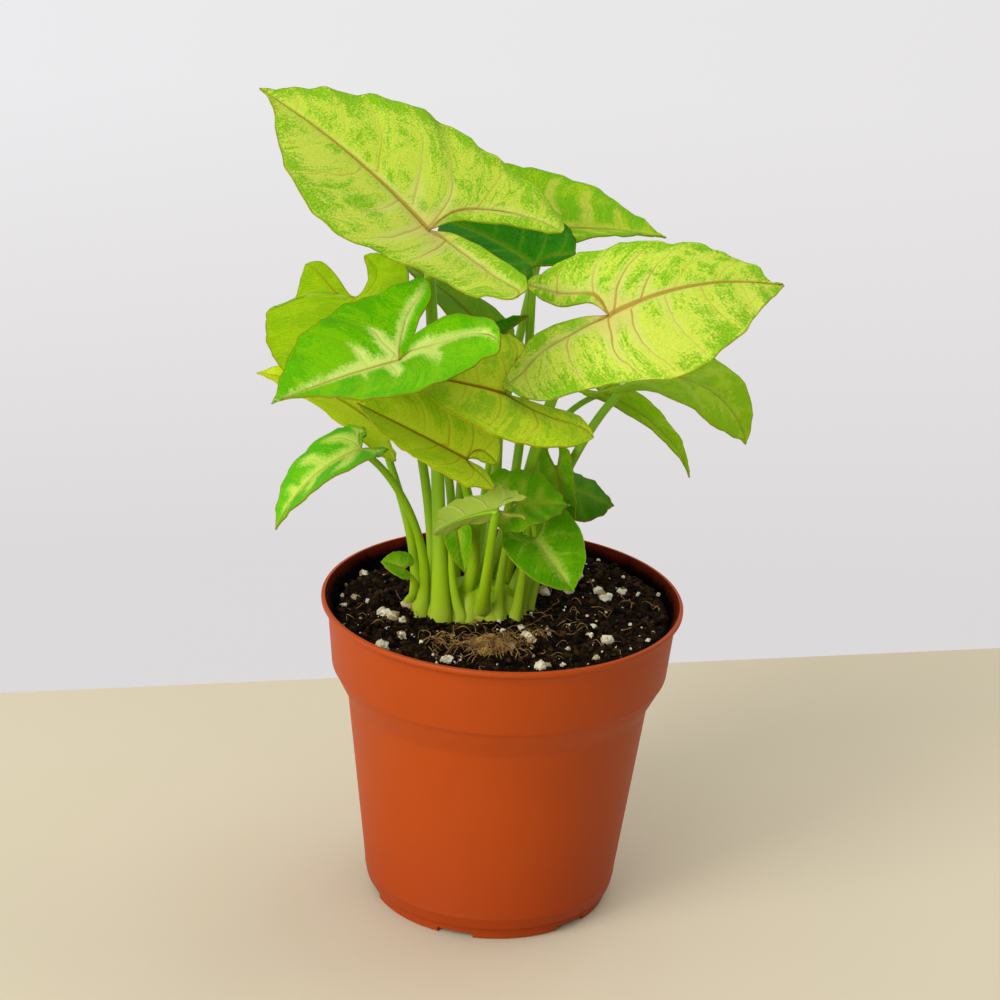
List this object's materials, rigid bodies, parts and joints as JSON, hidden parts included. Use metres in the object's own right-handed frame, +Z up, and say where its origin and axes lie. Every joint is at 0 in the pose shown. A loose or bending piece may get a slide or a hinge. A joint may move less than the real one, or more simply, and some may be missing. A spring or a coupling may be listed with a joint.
{
  "type": "potted plant",
  "caption": "Young arrowhead vine with pale and green arrow-shaped leaves on upright stalks, in a round stepped plastic nursery pot filled with soil.",
  "frame": {"origin": "on the floor under the middle of the pot", "axes": "+Z up, the side that the picture shows faces -Y"},
  "size_m": [0.1534, 0.1317, 0.2416],
  "materials": {
    "pot": "satin",
    "soil": "matte",
    "blade_pale": "satin",
    "blade_green": "satin",
    "blade_dull": "satin",
    "blade_dark": "satin"
  },
  "bodies": {
    "root": {"pot": "pot", "soil": "soil", "leaf_top_left": "blade_pale", "leaf_right": "blade_pale", "leaf_front_left": "blade_green", "leaf_back_right": "blade_pale", "leaf_back_middle": "blade_dark", "leaf_far_left": "blade_dull", "leaf_low_left": "blade_green", "leaf_under_left": "blade_pale", "leaf_centre_low": "blade_dull", "leaf_centre": "blade_dull", "leaf_back_left": "blade_dark", "leaf_drooping_right": "blade_green", "leaf_narrow_right": "blade_green", "leaf_small_right": "blade_dark", "leaf_folded": "blade_green", "leaf_wavy": "blade_green", "leaf_curled": "blade_pale", "leaf_heart": "blade_green", "leaf_spike": "blade_dark", "leaf_tiny": "blade_green", "leaf_unfurling": "blade_green"}
  },
  "joints": []
}
